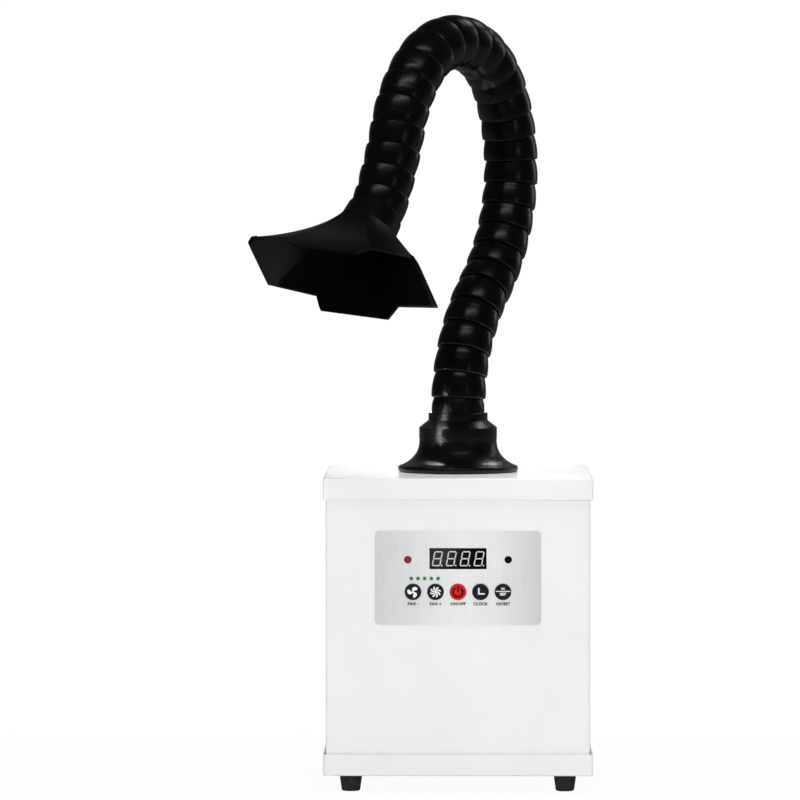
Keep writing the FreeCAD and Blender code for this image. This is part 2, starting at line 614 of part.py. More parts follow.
# Hood: neck with a ball seat, eight folded panels from an octagon, and four turned flaps
neck_in = NECK_R - WALL
lip_in = NECK_LIP_R - WALL
neck = spun([
    seat(LIP_RISE) + (seat(lip_mid),), *rounded(NECK_LIP_R, LIP_RISE, NECK_ROUND),
    (NECK_R, THROAT_Z + 2), (neck_in, THROAT_Z + 2), (neck_in, web_top), (SPIGOT_R, web_top),
    (SPIGOT_R, WEB_Z), (lip_in, WEB_Z), (lip_in, SEAT_TOP + 1.3), seat(SEAT_TOP),
])


def octagon(near, side, z):
    """Eight corners in order around the axis, from one corner of each of the two panel pairs."""
    pts = [(near[0], near[1]), (-near[0], near[1]), (-side[0], side[1]), (-side[0], -side[1]),
           (-near[0], -near[1]), (near[0], -near[1]), (side[0], -side[1]), (side[0], side[1])]
    ring = [V(x, y, z) for x, y in pts]
    return Part.makePolygon(ring + ring[:1])


def flared(rings, fold):
    """Eight-sided flared block through octagons, its fold lines rounded."""
    block = Part.makeLoft(rings, True, False)
    folds = [e for e in block.Edges if e.BoundBox.ZLength > 1]
    return block.makeFillet(fold, folds)


throat_r = NECK_R + 0.6
throat = throat_r * math.tan(math.pi / 8)
outer_rings = [
    octagon((throat, throat_r), (throat_r, throat), THROAT_Z), octagon(FLARE_NEAR, FLARE_SIDE, FLARE_Z),
    octagon(RIM_NEAR, RIM_SIDE, RIM_Z),
]
inner_rings = [ring.makeOffset2D(-HOOD_WALL * 1.1, 2, False, False, False) for ring in outer_rings]
funnel = flared(outer_rings, FOLD_OUT).cut(flared(inner_rings, FOLD_IN))


def fold_rib(points):
    """Half-round rib along one fold line inside the hood."""
    line = Part.BSplineCurve()
    line.interpolate(list(points))
    end = Part.makeCircle(RIB_R, points[0], line.tangent(line.FirstParameter)[0])
    return Part.Wire(line.toShape()).makePipe(Part.Face(Part.Wire(end)))


corners = []
for ring in inner_rings:
    points = [vertex.Point for vertex in ring.Vertexes]
    corners.append(sorted(points, key=lambda point: math.atan2(point.y, point.x)))
inside = box(-RIM_SIDE[0], -RIM_NEAR[1], THROAT_Z, RIM_SIDE[0], RIM_NEAR[1], RIM_Z)
ribs = [fold_rib(points).common(inside) for points in zip(*corners)]


def flap(foot, tip, panel_lean, foot_half, tip_half, corner):
    """Panel edge turned past the rim, from (out, z) at the rim to (out, z) at its tip."""
    def inside(point, lean):
        return (point[0] - HOOD_WALL * math.cos(lean), point[1] + HOOD_WALL * math.sin(lean))

    turned = math.atan2(tip[0] - foot[0], tip[1] - foot[1])
    root = (foot[0] - ROOT * math.sin(panel_lean), foot[1] - ROOT * math.cos(panel_lean))
    profile = [root, foot, tip, inside(tip, turned), inside(foot, (panel_lean + turned) / 2),
               inside(root, panel_lean)]
    strip = [V(-foot_half, y, z) for y, z in profile]
    sheet = Part.Face(Part.makePolygon(strip + strip[:1])).extrude(V(2 * foot_half, 0, 0))
    narrow = ROOT * (foot_half - throat) / (RIM_Z - THROAT_Z)
    top = max(z for y, z in profile)
    shape = [(-foot_half + narrow, foot[1] - ROOT), (-foot_half, foot[1]), (-tip_half, top),
             (tip_half, top), (foot_half, foot[1]), (foot_half - narrow, foot[1] - ROOT)]
    outline = [V(x, foot[0] - 2 * ROOT, z) for x, z in shape]
    cutter = Part.Face(Part.makePolygon(outline + outline[:1])).extrude(V(0, 4 * ROOT, 0))
    ends = [e for e in cutter.Edges if e.BoundBox.YLength > ROOT and e.CenterOfMass.z > top - 0.01]
    return sheet.common(cutter.makeFillet(corner, ends))


def rim_lean(low, mid, high):
    """Lean from the axis at the rim of a curve through three widths at the three ring heights."""
    first = (mid - low) / (FLARE_Z - THROAT_Z)
    second = (high - mid) / (RIM_Z - FLARE_Z)
    return math.atan(second + (second - first) * (RIM_Z - FLARE_Z) / (RIM_Z - THROAT_Z))


near_lean = rim_lean(throat_r, FLARE_NEAR[1], RIM_NEAR[1])
side_lean = rim_lean(throat_r, FLARE_SIDE[0], RIM_SIDE[0])
near_flap = flap((RIM_NEAR[1], RIM_Z), NEAR_TIP, near_lean, RIM_NEAR[0], NEAR_TIP_HALF, NEAR_ROUND)
side_flap = flap((RIM_SIDE[0], RIM_Z), SIDE_TIP, side_lean, RIM_SIDE[1], SIDE_TIP_HALF, SIDE_ROUND)
side_flap = side_flap.rotated(CENTRE, Z_UP, 90)
flaps = [near_flap, near_flap.rotated(CENTRE, Z_UP, 180), side_flap, side_flap.rotated(CENTRE, Z_UP, 180)]
hood = fuse([neck, funnel] + ribs + flaps)
nodes["hood"] = placed(Part.Compound([hood, retainer]), at, lean + HOOD_BEND, HOOD_ROLL)

os.makedirs("parts", exist_ok=True)
for name, shape in nodes.items():
    shape.exportStep("parts/" + name + ".step")
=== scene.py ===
import json
import math

import bmesh
import bpy
from mathutils import Matrix, Vector


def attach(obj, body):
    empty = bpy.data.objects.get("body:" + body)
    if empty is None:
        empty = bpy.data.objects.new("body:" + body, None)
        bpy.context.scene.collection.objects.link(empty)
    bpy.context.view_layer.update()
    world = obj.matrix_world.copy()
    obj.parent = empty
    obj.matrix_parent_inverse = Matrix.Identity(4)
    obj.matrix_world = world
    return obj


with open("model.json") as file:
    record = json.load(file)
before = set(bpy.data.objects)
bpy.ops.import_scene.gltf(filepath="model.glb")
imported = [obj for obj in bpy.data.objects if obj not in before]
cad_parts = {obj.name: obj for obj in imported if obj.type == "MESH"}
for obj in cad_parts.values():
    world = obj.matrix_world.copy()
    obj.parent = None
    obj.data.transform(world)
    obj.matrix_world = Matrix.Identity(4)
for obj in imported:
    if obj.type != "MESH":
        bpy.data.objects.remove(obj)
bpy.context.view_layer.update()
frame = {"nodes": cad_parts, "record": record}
scene = bpy.context.scene
scene.view_settings.view_transform = "Standard"

# The control panel, in millimetres of the shared frame: its front faces and what is printed on them
MM = 0.001
PANEL_FACE = -123.3
PANEL_HALF = 77.0
DISPLAY_FACE = -123.1
DISPLAY_Z = 217.6
KEY_FACE = -124.8
KEY_Z = 186.8
KEY_STEP = 20.8
LABEL_Z = 175.6
LABEL_HEIGHT = 2.6
INK_PROUD = 0.05
INK_SUNK = 0.025
WELD = 0.0001

# Lettering, as shares of the font's size: height of a capital, weight added to its outline, spacing
CAPITAL = 0.72
WEIGHT = 0.05
SPACING = 1.12

# Nearly all of a noise texture's values lie between these two
NOISE_LOW, NOISE_HIGH = 0.3, 0.7


def linear(code):
    """Linear colour of an sRGB hex value."""
    parts = [int(code[i:i + 2], 16) / 255 for i in (1, 3, 5)]
    return [c / 12.92 if c <= 0.04045 else ((c + 0.055) / 1.055) ** 2.4 for c in parts] + [1.0]


def per_mm(size):
    """Texture scale at which one cell is this many millimetres across."""
    return 1.0 / (size * MM)


def add(tree, kind, inputs=None, stops=(), **settings):
    """Adds a shader node with its settings, feeds its sockets with values or other sockets, and gives
    a colour ramp its (place, sRGB hex) stops."""
    made = tree.nodes.new("ShaderNode" + kind)
    for name, value in settings.items():
        setattr(made, name, value)
    for socket, value in (inputs or {}).items():
        if isinstance(value, bpy.types.NodeSocket):
            tree.links.new(value, made.inputs[socket])
        else:
            made.inputs[socket].default_value = value
    if stops:
        points = made.color_ramp.elements
        while len(points) < len(stops):
            points.new(0.5)
        for point, (place, code) in zip(points, stops):
            point.position = place
            point.color = linear(code)
    return made


def finish_of(name):
    """A new material with its node tree, its shader and the place on the object it is read at."""
    made = bpy.data.materials.new(name)
    made.use_nodes = True
    tree = made.node_tree
    shader = tree.nodes["Principled BSDF"]
    where = add(tree, "TexCoord").outputs["Object"]
    return made, tree, shader, where


def grained(name, low, high, grain, rough, bump, ior=1.5, blotch=30.0, **sockets):
    """Moulded, cast or coated surface: two close colours in broad patches, and a fine grain that both
    lifts the surface and breaks up its gloss. Sizes in millimetres, rough is a (low, high) pair."""
    made, tree, shader, where = finish_of(name)
    broad = add(tree, "TexNoise", {"Vector": where, "Scale": per_mm(blotch), "Detail": 3.0})
    colour = add(tree, "ValToRGB", {"Fac": broad.outputs["Fac"]},
                 stops=[(NOISE_LOW, low), (NOISE_HIGH, high)])
    fine = add(tree, "TexNoise", {"Vector": where, "Scale": per_mm(grain), "Detail": 2.0})
    gloss = add(tree, "MapRange", {"Value": fine.outputs["Fac"],
                                   "From Min": NOISE_LOW, "From Max": NOISE_HIGH,
                                   "To Min": rough[0], "To Max": rough[1]})
    lift = add(tree, "Bump", {"Height": fine.outputs["Fac"], "Distance": bump * MM, "Strength": 1.0})
    tree.links.new(colour.outputs["Color"], shader.inputs["Base Color"])
    tree.links.new(gloss.outputs["Result"], shader.inputs["Roughness"])
    tree.links.new(lift.outputs["Normal"], shader.inputs["Normal"])
    shader.inputs["IOR"].default_value = ior
    for socket, value in sockets.items():
        shader.inputs[socket.replace("_", " ")].default_value = value
    return made


# Powder-coated sheet steel: baked polyester powder leaves a faint orange peel, about 1.5 mm across,
# which softens reflections without hiding the folds.
powder_coat = grained("powder_coated_steel", "#ECECED", "#F0F0F1", 1.5, (0.36, 0.46), 0.012,
                      blotch=90)

# Satin black ABS of the arm's cups: a close, fine mould skin that keeps the highlights small and soft.
arm_abs = grained("satin_black_abs", "#020202", "#040404", 0.45, (0.22, 0.32), 0.006)

# Spark-eroded black ABS of the arm's base: the mould's pitting breaks up broad highlights.
# The real pits are near 0.1 mm; they are drawn at 0.9 mm so that they show.
base_abs = grained("spark_eroded_black_abs", "#030303", "#060606", 0.9, (0.25, 0.36), 0.018)

# Satin black polypropylene of the hood: a smoother, duller moulding with broad soft gradients.
hood_pp = grained("satin_black_polypropylene", "#030303", "#050505", 0.6, (0.34, 0.42), 0.004,
                  Specular_IOR_Level=0.25)

# Moulded rubber of the feet: dull, slightly dusty black.
foot_rubber = grained("moulded_black_rubber", "#232324", "#313132", 0.5, (0.62, 0.78), 0.02, blotch=6)

# Closed-cell foam strip: flat black with small closed bubbles.
foam_strip = grained("closed_cell_foam", "#101011", "#1A1A1B", 0.9, (0.8, 0.95), 0.12, blotch=8)

# Open-cell polyurethane foam: a grey sponge of 1.6 mm cells.
open_foam = grained("open_cell_foam", "#3A3B3D", "#55575A", 1.6, (0.85, 1.0), 0.5, blotch=5)

# Pressed fibre board of the filter's frame: tan, dull, with short fibres.
filter_card = grained("pressed_fibre_board", "#C9B998", "#D8CBAF", 0.8, (0.75, 0.9), 0.03, blotch=12)

# Glass-fibre filter paper: soft white felted sheet.
filter_paper = grained("glass_fibre_paper", "#E2E2DE", "#EEEEEA", 0.7, (0.85, 0.95), 0.03, blotch=10)

# Natural nylon spacers: slightly yellow and waxy.
natural_nylon = grained("moulded_natural_nylon", "#DEDACE", "#E6E3D8", 0.8, (0.4, 0.5), 0.008,
                        blotch=4)

# Glass-filled nylon of the fan wheel: dark, a little paler where fibres lie near the skin.
wheel_nylon = grained("glass_filled_nylon", "#262729", "#34363A", 0.7, (0.45, 0.65), 0.02, blotch=5)

# Moulded black nylon of the mains inlet: even black, half dull.
inlet_nylon = grained("moulded_black_nylon", "#111112", "#18181A", 0.5, (0.4, 0.55), 0.012, blotch=8)

# Zinc-plated steel: bright, slightly blue, with a soft plating haze.
zinc_plate = grained("zinc_plated_steel", "#A9ACB2", "#BDC0C6", 0.6, (0.28, 0.42), 0.006, blotch=3,
                     Metallic=1.0)

# Nickel-plated brass of the inlet's pins: warm and bright.
nickel_brass = grained("nickel_plated_brass", "#B9B3A4", "#CAC5B8", 0.5, (0.2, 0.32), 0.004, blotch=4,
                       Metallic=1.0)

# Die-cast aluminium of the motor's shell: grey, sandy skin.
cast_aluminium = grained("die_cast_aluminium", "#9C9EA1", "#B0B2B4", 0.7, (0.4, 0.58), 0.02, blotch=9,
                         Metallic=1.0)

# Moulded ABS keys: satin, blue-black and one red.
key_dark = grained("satin_blue_black_abs", "#181922", "#1E1F29", 0.5, (0.34, 0.44), 0.006, blotch=4)
key_red = grained("satin_red_abs", "#CE0A0D", "#DA0F12", 0.5, (0.34, 0.44), 0.006, blotch=4)

# Screen-printed inks: thin, dull films.
white_ink = grained("white_screen_ink", "#F2F2F2", "#FAFAFA", 0.6, (0.5, 0.6), 0.004, blotch=3)
black_ink = grained("black_screen_ink", "#08080A", "#0E0E10", 0.6, (0.5, 0.6), 0.004, blotch=3)

# Unlit display segments: pale diffusing epoxy cast into the black face.
segment_epoxy = grained("pale_segment_epoxy", "#CBCCCE", "#D6D7D9", 0.5, (0.45, 0.55), 0.004, blotch=2)

# Black cast epoxy of the display's face: smooth enough to mirror the room.
display_epoxy = grained("black_cast_epoxy", "#040405", "#070708", 2.0, (0.03, 0.05), 0.001, blotch=15)

# Dark infrared filter plastic: black to the eye, smooth.
receiver_filter = grained("infrared_filter_epoxy", "#08080A", "#0C0B0E", 1.0, (0.16, 0.24), 0.004,
                          blotch=3)

# Tinted epoxy lamps, unlit: clear colour, bright skin.
lamp_red = grained("red_tinted_epoxy", "#B01616", "#C41C1C", 1.0, (0.14, 0.22), 0.003, ior=1.54,
                   blotch=2, Coat_Weight=0.5)
lamp_green = grained("green_tinted_epoxy", "#128A4C", "#18A05A", 1.0, (0.2, 0.3), 0.003, ior=1.54,
                     blotch=2)


def silver_film():
    """Screen-printed polycarbonate film: silver ink under a satin skin with fine upright rolling lines.
    The paler middle and darker ends are painted sheen, not print. The lines are drawn 0.8 mm apart so
    that they show."""
    made, tree, shader, where = finish_of("silver_printed_polycarbonate")
    axes = add(tree, "SeparateXYZ", {"Vector": where})
    across = add(tree, "MapRange", {"Value": axes.outputs["X"],
                                    "From Min": -PANEL_HALF * MM, "From Max": PANEL_HALF * MM})
    # Painted sheen: the film's tone is paler in the middle of the panel and darker towards both ends
    tone = add(tree, "ValToRGB", {"Fac": across.outputs["Result"]},
               stops=[(0.0, "#D2D2D3"), (0.22, "#DFDFE0"), (0.5, "#EDEDEE"), (0.74, "#E7E7E8"),
                      (1.0, "#CFCFD0")])
    stretched = add(tree, "Mapping", {"Vector": where, "Scale": (1.0, 1.0, 0.03)})
    lines = add(tree, "TexNoise", {"Vector": stretched.outputs["Vector"], "Scale": per_mm(0.8),
                                   "Detail": 2.0})
    flecks = add(tree, "ValToRGB", {"Fac": lines.outputs["Fac"]},
                 stops=[(NOISE_LOW, "#F6F6F6"), (NOISE_HIGH, "#FFFFFF")])
    # A colour mix has its factor at input 0, its colours at inputs 6 and 7 and its result at output 2
    colour = add(tree, "Mix", {6: tone.outputs["Color"], 7: flecks.outputs["Color"], 0: 1.0},
                 data_type="RGBA", blend_type="MULTIPLY")
    gloss = add(tree, "MapRange", {"Value": lines.outputs["Fac"], "To Min": 0.34, "To Max": 0.48})
    lift = add(tree, "Bump", {"Height": lines.outputs["Fac"], "Distance": 0.004 * MM})
    tree.links.new(colour.outputs[2], shader.inputs["Base Color"])
    tree.links.new(gloss.outputs["Result"], shader.inputs["Roughness"])
    tree.links.new(lift.outputs["Normal"], shader.inputs["Normal"])
    shader.inputs["IOR"].default_value = 1.58
    return made


def galvanised_sheet():
    """Hot-dip galvanised steel: zinc crystals, about 9 mm across, each with its own grey and gloss."""
    made, tree, shader, where = finish_of("hot_dip_galvanised_steel")
    crystals = add(tree, "TexVoronoi", {"Vector": where, "Scale": per_mm(9.0)})
    value = add(tree, "SeparateColor", {"Color": crystals.outputs["Color"]}).outputs["Red"]
    grey = add(tree, "ValToRGB", {"Fac": value}, stops=[(0.0, "#9EA1A5"), (1.0, "#BCBFC3")])
    gloss = add(tree, "MapRange", {"Value": value, "To Min": 0.3, "To Max": 0.5})
    tree.links.new(grey.outputs["Color"], shader.inputs["Base Color"])
    tree.links.new(gloss.outputs["Result"], shader.inputs["Roughness"])
    shader.inputs["Metallic"].default_value = 1.0
    return made


def solder_mask():
    """Glass-epoxy board under green solder mask: copper tracks 2.5 mm apart show as a paler grid."""
    made, tree, shader, where = finish_of("green_solder_mask")
    tracks = add(tree, "TexBrick", {"Vector": where, "Scale": per_mm(2.5), "Color1": linear("#0E4A2A"),
                                    "Color2": linear("#115533"), "Mortar": linear("#1B7A4A")})
    tree.links.new(tracks.outputs["Color"], shader.inputs["Base Color"])
    shader.inputs["Roughness"].default_value = 0.3
    shader.inputs["IOR"].default_value = 1.52
    return made


FINISHES = {
    "cabinet_paint": powder_coat, "foot_rubber": foot_rubber, "zinc_steel": zinc_plate,
    "panel_film": silver_film(), "display_black": display_epoxy, "lamp_red": lamp_red,
    "receiver_black": receiver_filter, "lamp_green": lamp_green, "key_dark": key_dark,
    "key_red": key_red, "board_laminate": solder_mask(), "nylon": natural_nylon,
    "filter_foam": open_foam, "filter_card": filter_card, "filter_paper": filter_paper,
    "seal_foam": foam_strip, "galvanised_steel": galvanised_sheet(), "motor_alloy": cast_aluminium,
    "wheel_plastic": wheel_nylon, "inlet_plastic": inlet_nylon, "nickel_brass": nickel_brass,
    "arm_plastic": arm_abs, "hood_plastic": hood_pp,
}
OWN_FINISHES = {"arm_base": base_abs}
for part in frame["record"]["subparts"]:
    solid = frame["nodes"][part["node"]]
    solid.data.materials.clear()
    solid.data.materials.append(OWN_FINISHES.get(part["node"], FINISHES[part["material_slot"]]))


def piece(name, mesh, body, finish):
    """Puts a new piece on a CAD body."""
    made = bpy.data.objects.new(name, mesh)
    scene.collection.objects.link(made)
    mesh.materials.append(finish)
    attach(made, body)


def print_mesh(name, outlines, face):
    """Ink film on a front face, from outlines in (x, z) millimetres."""
    grid = bmesh.new()
    for outline in outlines:
        rear = [grid.verts.new((x * MM, (face + INK_SUNK) * MM, z * MM)) for x, z in outline]
        front = [grid.verts.new((x * MM, (face - INK_PROUD) * MM, z * MM)) for x, z in outline]
        grid.faces.new(front)
        grid.faces.new(rear[::-1])
        for i in range(len(outline)):
            j = (i + 1) % len(outline)
            grid.faces.new((front[j], front[i], rear[i], rear[j]))
    bmesh.ops.recalc_face_normals(grid, faces=grid.faces)
    bmesh.ops.triangulate(grid, faces=[f for f in grid.faces if len(f.verts) > 4])
    mesh = bpy.data.meshes.new(name)
    grid.to_mesh(mesh)
    grid.free()
    return mesh


def word_mesh(name, words, face):
    """Ink lettering on a front face, from (text, x, z, height of a capital) in millimetres."""
    upright = Matrix.Rotation(math.pi / 2, 4, "X")
    middle = face - (INK_PROUD - INK_SUNK) / 2
    grid = bmesh.new()
    for text, x, z, height in words:
        line = bpy.data.curves.new(name, "FONT")
        line.body = text
        line.align_x = "CENTER"
        line.align_y = "CENTER"
        line.size = height * MM / CAPITAL
        line.offset = WEIGHT * line.size
        line.space_character = SPACING
        line.extrude = (INK_PROUD + INK_SUNK) / 2 * MM
        holder = bpy.data.objects.new(name, line)
        scene.collection.objects.link(holder)
        bpy.context.view_layer.update()
        shown = holder.evaluated_get(bpy.context.evaluated_depsgraph_get())
        letters = bpy.data.meshes.new_from_object(shown)
        letters.transform(Matrix.Translation((x * MM, middle * MM, z * MM)) @ upright)
        grid.from_mesh(letters)
        bpy.data.objects.remove(holder)
        bpy.data.curves.remove(line)
        bpy.data.meshes.remove(letters)
    bmesh.ops.remove_doubles(grid, verts=grid.verts, dist=WELD * MM)
    bmesh.ops.recalc_face_normals(grid, faces=grid.faces)
    mesh = bpy.data.meshes.new(name)
    grid.to_mesh(mesh)
    grid.free()
    return mesh


def bar(x0, z0, x1, z1):
    """Upright rectangle between two corners."""
    return [(x0, z0), (x1, z0), (x1, z1), (x0, z1)]


def disc(x, z, r, count):
    """Circle of this many corners."""
    turns = [2 * math.pi * i / count for i in range(count)]
    return [(x + r * math.cos(a), z + r * math.sin(a)) for a in turns]


def shifted(outline, x, z):
    """The outline moved to another place."""
    return [(px + x, pz + z) for px, pz in outline]


# A fan blade's half width follows a sine: the share of a half wave that it starts at, the share that it
# covers, and the power that makes its tip fuller
SWELL_FROM, SWELL_RUN, SWELL_POWER = 0.16, 0.78, 0.8
BLADE_STEPS = 12
HUB_OVER = 0.25
HUB_CORNERS = 20
RING_STEPS = 40


def fan_mark(count, root, tip, spread, sweep):
    """Swept fan blades about a hub. Spread and sweep are in degrees."""
    outlines = []
    for k in range(count):
        lead, trail = [], []
        for i in range(BLADE_STEPS + 1):
            t = i / BLADE_STEPS
            r = root + (tip - root) * t
            middle = 90 - 360 * k / count - sweep * t
            half = spread * math.sin(math.pi * (SWELL_FROM + SWELL_RUN * t)) ** SWELL_POWER
            lead.append((r, middle + half))
            trail.append((r, middle - half))
        outlines.append([(r * math.cos(math.radians(a)), r * math.sin(math.radians(a)))
                         for r, a in lead + trail[::-1]])
    return outlines + [disc(0, 0, root + HUB_OVER, HUB_CORNERS)]


def power_mark(outer, inner, gap, half_bar, low, high):
    """Open ring with an upright bar. The gap is in degrees to each side."""
    angles = [math.radians(90 + gap + (360 - 2 * gap) * i / RING_STEPS)
              for i in range(RING_STEPS + 1)]
    ring = [(outer * math.cos(a), outer * math.sin(a)) for a in angles]
    ring += [(inner * math.cos(a), inner * math.sin(a)) for a in angles[::-1]]
    return [ring, bar(-half_bar, low, half_bar, high)]


CLOCK_HANDS = [(-2.2, -2.3), (4.0, -2.3), (4.0, -1.1), (-0.9, -1.1), (-0.9, 3.7), (-2.2, 3.7)]
KEY_MARKS = {
    "fan_down_button": (fan_mark(count=3, root=0.8, tip=5.4, spread=38.0, sweep=42.0), white_ink),
    "fan_up_button": (fan_mark(count=8, root=0.9, tip=5.2, spread=15.0, sweep=34.0), white_ink),
    "power_button": (power_mark(outer=5.2, inner=3.7, gap=30.0, half_bar=0.75, low=0.4, high=5.6),
                     black_ink),
    "timer_button": ([CLOCK_HANDS], white_ink),
    "set_button": ([bar(-6.7, 0.25, 6.7, 1.05)], white_ink),
}
key_places = [(i - 2) * KEY_STEP for i in range(len(KEY_MARKS))]
for at, (key, (outlines, film)) in zip(key_places, KEY_MARKS.items()):
    marks = print_mesh(key + "_mark", [shifted(o, at, KEY_Z) for o in outlines], KEY_FACE)
    piece(key + "_mark", marks, key, film)
set_rows = [("OK", key_places[-1], KEY_Z + 3.0, 1.7), ("SET", key_places[-1], KEY_Z - 2.1, 2.4)]
piece("set_button_words", word_mesh("set_button_words", set_rows, KEY_FACE), "set_button", white_ink)

LABELS = ("FAN -", "FAN +", "ON/OFF", "CLOCK", "OK/SET")
label_rows = [(text, at, LABEL_Z, LABEL_HEIGHT) for at, text in zip(key_places, LABELS)]
piece("key_labels", word_mesh("key_labels", label_rows, PANEL_FACE), "cabinet", black_ink)

# The display's digits, in millimetres; the lean is sideways for each millimetre up
DIGITS = 4
DIGIT_X = -24.3
DIGIT_STEP = 12.85
DIGIT_LOW = DISPLAY_Z - 7.0
DIGIT_WIDTH = 8.0
DIGIT_HEIGHT = 13.9
DIGIT_LEAN = 0.19
SEGMENT_HALF = 0.52
SEGMENT_GAP = 0.18
POINT_ASIDE = 1.75
POINT_UP = 0.1
POINT_RADIUS = 0.72
POINT_CORNERS = 18


def segment(ax, az, bx, bz):
    """One display segment with pointed ends."""
    along = Vector((bx - ax, bz - az)).normalized()
    side = Vector((-along.y, along.x)) * SEGMENT_HALF
    a = Vector((ax, az)) + along * SEGMENT_GAP
    b = Vector((bx, bz)) - along * SEGMENT_GAP
    tip = along * SEGMENT_HALF
    return [tuple(a), tuple(a + tip + side), tuple(b - tip + side), tuple(b),
            tuple(b - tip - side), tuple(a + tip - side)]


def digit(x):
    """Seven segments and a point, leaning to the right."""
    w, h = DIGIT_WIDTH - 2 * SEGMENT_HALF, DIGIT_HEIGHT - 2 * SEGMENT_HALF
    runs = [(0, 0, w, 0), (0, h / 2, w, h / 2), (0, h, w, h), (0, 0, 0, h / 2), (0, h / 2, 0, h),
            (w, 0, w, h / 2), (w, h / 2, w, h)]
    shapes = [segment(*run) for run in runs]
    shapes.append(disc(w + POINT_ASIDE, POINT_UP, POINT_RADIUS, POINT_CORNERS))
    return [[(x + SEGMENT_HALF + px + DIGIT_LEAN * pz, DIGIT_LOW + SEGMENT_HALF + pz)
             for px, pz in shape] for shape in shapes]


digits = []
for i in range(DIGITS):
    digits += digit(DIGIT_X + i * DIGIT_STEP)
piece("display_digits", print_mesh("display_digits", digits, DISPLAY_FACE), "cabinet", segment_epoxy)

# Camera: from the photograph's height, turned and tipped a little, without shift. Its place is in
# metres; of the direction that it looks in, only the proportions count.
CAMERA_AT = Vector((0.0, -5.083, 0.5517))
CAMERA_LOOK = Vector((-58.1, 5374.5, -203.0))
LENS = 241.85
SENSOR = 36.0
SIGHT = 60.0
eye = bpy.data.cameras.new("camera")
eye.lens = LENS
eye.sensor_width = SENSOR
eye.clip_end = SIGHT
camera = bpy.data.objects.new("camera", eye)
camera.location = CAMERA_AT
camera.rotation_mode = "QUATERNION"
camera.rotation_quaternion = CAMERA_LOOK.to_track_quat("-Z", "Y")
scene.collection.objects.link(camera)
scene.camera = camera

# White sweep, in metres: a floor that runs back and bends up into a wall behind the object. In mirror
# images it is grey, and fades to the darker grey of the room ahead of the object.
ROOM_GREY = 0.03
WALL_GREY = 0.12
DIM_FROM, DIM_TO = -0.9, -0.1
FLOOR_STEPS = (-6.0, -3.2, -1.2, 0.0, 3.0, 6.5)
BEND = 1.5
BEND_ANGLES = [math.radians(15 * k) for k in range(1, 7)]
WALL_TOP = 5.0
SWEEP_HALF = 6.0
FLOOR_GAP = 0.0004
floor_end = FLOOR_STEPS[-1]
profile = [(y, 0.0) for y in FLOOR_STEPS]
profile += [(floor_end + BEND * math.sin(a), BEND - BEND * math.cos(a)) for a in BEND_ANGLES]
profile += [(floor_end + BEND, WALL_TOP)]
sheet = bmesh.new()
rows = [[sheet.verts.new((side * SWEEP_HALF, y, z - FLOOR_GAP)) for side in (-1, 1)]
        for y, z in profile]
for low, high in zip(rows, rows[1:]):
    sheet.faces.new((low[0], low[1], high[1], high[0]))
sweep_mesh = bpy.data.meshes.new("studio_sweep")
sheet.to_mesh(sweep_mesh)
sheet.free()
sweep = bpy.data.objects.new("studio_sweep", sweep_mesh)
scene.collection.objects.link(sweep)
for face in sweep_mesh.polygons:
    face.use_smooth = True

# The paper's white: the share of it that is plain, so that the rest holds the object's shadow, and how
# much it gains from here to there behind the object, to make up for that rest
PLAIN_SHARE = 0.95
FAR_FROM, FAR_TO = 0.3, 1.0
FAR_WHITE = 1.06


def sweep_paper():
    """Matt white paper: plain white to the camera with a trace of the object's shadow, and darker ahead
    of the object in its mirror image, where a black piece faces the unlit end of the room."""
    made, tree, shader, where = finish_of("matt_white_paper")
    tree.nodes.remove(shader)
    y = add(tree, "SeparateXYZ", {"Vector": where}).outputs["Y"]
    ray = add(tree, "LightPath")
    camera_ray = ray.outputs["Is Camera Ray"]
    ahead = add(tree, "MapRange", {"Value": y, "From Min": DIM_FROM, "From Max": DIM_TO,
                                   "To Min": ROOM_GREY, "To Max": WALL_GREY},
                interpolation_type="SMOOTHSTEP")
    level = add(tree, "Math", {0: ahead.outputs["Result"], 1: camera_ray}, operation="MAXIMUM")
    far = add(tree, "MapRange", {"Value": y, "From Min": FAR_FROM, "From Max": FAR_TO,
                                 "To Min": 1.0, "To Max": FAR_WHITE})
    white = add(tree, "Emission", {"Color": level.outputs[0], "Strength": far.outputs["Result"]})
    paper = add(tree, "BsdfDiffuse", {"Color": linear("#E7E7E7")})
    seen = add(tree, "Math", {0: camera_ray, 1: ray.outputs["Is Glossy Ray"]}, operation="ADD")
    seen = add(tree, "Math", {0: seen.outputs[0], 1: ray.outputs["Is Transmission Ray"]},
               operation="ADD", use_clamp=True)
    share = add(tree, "Math", {0: seen.outputs[0], 1: PLAIN_SHARE}, operation="MULTIPLY")
    both = add(tree, "MixShader", {0: share.outputs[0], 1: paper.outputs[0], 2: white.outputs[0]})
    tree.links.new(both.outputs[0], tree.nodes["Material Output"].inputs["Surface"])
    return made


sweep_mesh.materials.append(sweep_paper())

# The pale corner that the photograph shows in the display's face, in (x, z) millimetres
GLARE = [(-27, 207), (-15, 207), (6, 229), (-27, 229)]
CARD_GLOW = 1.1


def mirrored_card(name, outline, face):
    """White card on the floor, cut so that the camera sees this outline of it in an upright glossy
    face. The outline is in (x, z) millimetres on the face."""
    card = bmesh.new()
    ring = []
    for x, z in outline:
        start = Vector((x * MM, face * MM, z * MM))
        away = Vector((start.x, CAMERA_AT.y - start.y, start.z - CAMERA_AT.z))
        ring.append(card.verts.new(start + away * (start.z / -away.z)))
    card.faces.new(ring)
    mesh = bpy.data.meshes.new(name)
    card.to_mesh(mesh)
    card.free()
    made = bpy.data.objects.new(name, mesh)
    made.visible_camera = False
    made.visible_diffuse = False
    scene.collection.objects.link(made)
    finish, tree, shader, _ = finish_of("lit_white_card")
    tree.nodes.remove(shader)
    glow = add(tree, "Emission", {"Color": linear("#FFFFFF"), "Strength": CARD_GLOW})
    tree.links.new(glow.outputs[0], tree.nodes["Material Output"].inputs["Surface"])
    mesh.materials.append(finish)


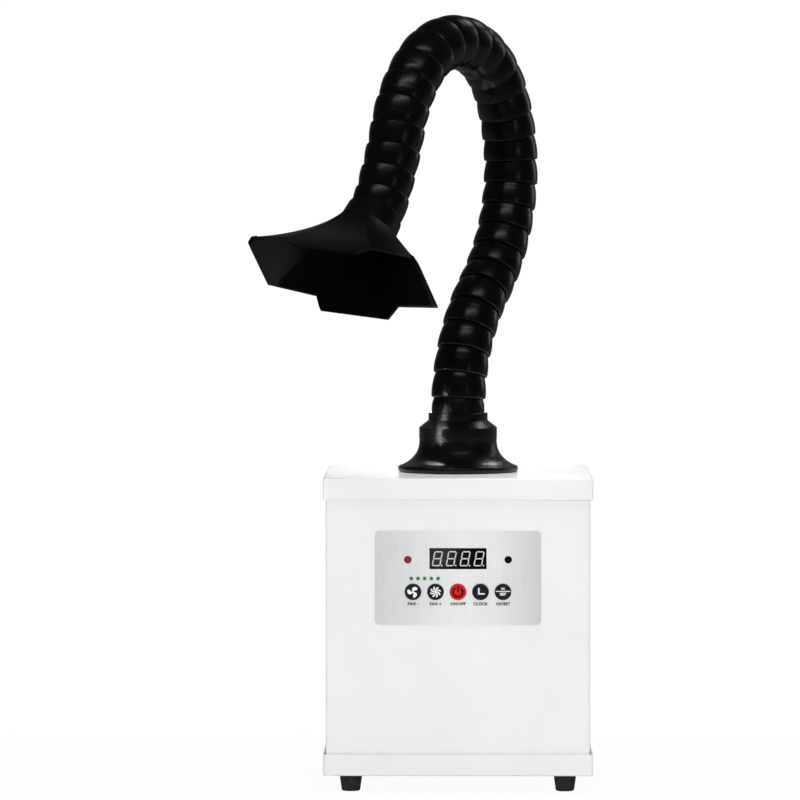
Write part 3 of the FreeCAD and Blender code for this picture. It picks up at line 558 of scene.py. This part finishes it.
mirrored_card("display_glare_card", GLARE, DISPLAY_FACE)

# Room: white to the camera, dark grey in mirror images
room = scene.world or bpy.data.worlds.new("room")
scene.world = room
room.use_nodes = True
air = room.node_tree
camera_ray = add(air, "LightPath").outputs["Is Camera Ray"]
tone = add(air, "Math", {0: camera_ray, 1: ROOM_GREY}, operation="MAXIMUM")
air.links.new(tone.outputs[0], air.nodes["Background"].inputs["Color"])

# Soft boxes: where they stand, what they face, their size in metres, the angle in degrees that their
# grid lets out, their power in watts, and what they work on. Fill lamps only light the paint; the
# gridded ones only draw a highlight on one piece.
BODY = Vector((0.0, 0.0, 0.36))
ARM_BASE = Vector((0.0, -0.03, 0.315))
ARCH = Vector((0.0, 0.0, 0.75))
LID_TOP = Vector((0.0, 0.0, 0.3))
LID_EDGE = Vector((0.0, -0.03, 0.29))
RISER = Vector((0.05, 0.0, 0.6))
HOOD_PANEL = Vector((-0.14, -0.07, 0.53))
OPEN = 180.0
WORKS_ON = {"paint": (True, False), "gloss": (False, True), "both": (True, True)}
SOFT_BOXES = {
    "front_fill": ((0.0, -2.6, 0.8), BODY, (0.9, 0.9), OPEN, 36.9, "paint"),
    "overhead_fill": ((0.0, -0.2, 2.6), BODY, (2.8, 2.2), OPEN, 66.0, "paint"),
    "left_fill": ((-2.6, 0.3, 0.6), BODY, (1.2, 1.2), OPEN, 10.0, "paint"),
    "right_fill": ((2.6, 0.3, 0.6), BODY, (1.2, 1.2), OPEN, 10.0, "paint"),
    "rear_fill": ((0.0, 2.6, 0.6), BODY, (1.2, 1.2), OPEN, 16.0, "paint"),
    "lid_sheen_grid": ((0.0, 5.0, 0.55), LID_TOP, (0.6, 0.2), 4.0, 0.0108, "gloss"),
    "key_strip": ((-0.1, -1.35, 2.1), ARCH, (2.2, 0.25), 90.0, 1.5, "gloss"),
    "riser_grid": ((1.2, -1.7, 0.75), RISER, (0.2, 0.4), 20.0, 0.006, "gloss"),
    "hood_grid": ((-0.42, 0.8, 1.87), HOOD_PANEL, (0.12, 0.12), 6.0, 0.0008, "gloss"),
    "rim_box": ((1.7, 1.3, 1.1), BODY, (0.35, 1.4), OPEN, 2.2, "both"),
    "rear_box": ((0.73, 0.9, 1.68), BODY, (0.5, 0.35), OPEN, 1.0, "both"),
    "base_strip_grid": ((-1.6, -1.1, 0.1), LID_EDGE, (0.16, 0.16), 4.5, 0.02, "gloss"),
    "base_left_grid": ((-0.42, 0.8, 1.87), ARM_BASE, (0.2, 0.06), 5.0, 0.008, "gloss"),
    "base_right_grid": ((0.56, 1.17, 1.6), ARM_BASE, (0.2, 0.2), 5.0, 0.0085, "gloss"),
}
for name, (at, aim, size, grid, power, work) in SOFT_BOXES.items():
    lamp = bpy.data.lights.new(name, "AREA")
    lamp.shape = "RECTANGLE"
    lamp.size, lamp.size_y = size
    lamp.spread = math.radians(grid)
    lamp.energy = power
    stand = bpy.data.objects.new(name, lamp)
    stand.location = at
    stand.rotation_mode = "QUATERNION"
    stand.rotation_quaternion = (aim - Vector(at)).to_track_quat("-Z", "Y")
    stand.visible_diffuse, stand.visible_glossy = WORKS_ON[work]
    scene.collection.objects.link(stand)
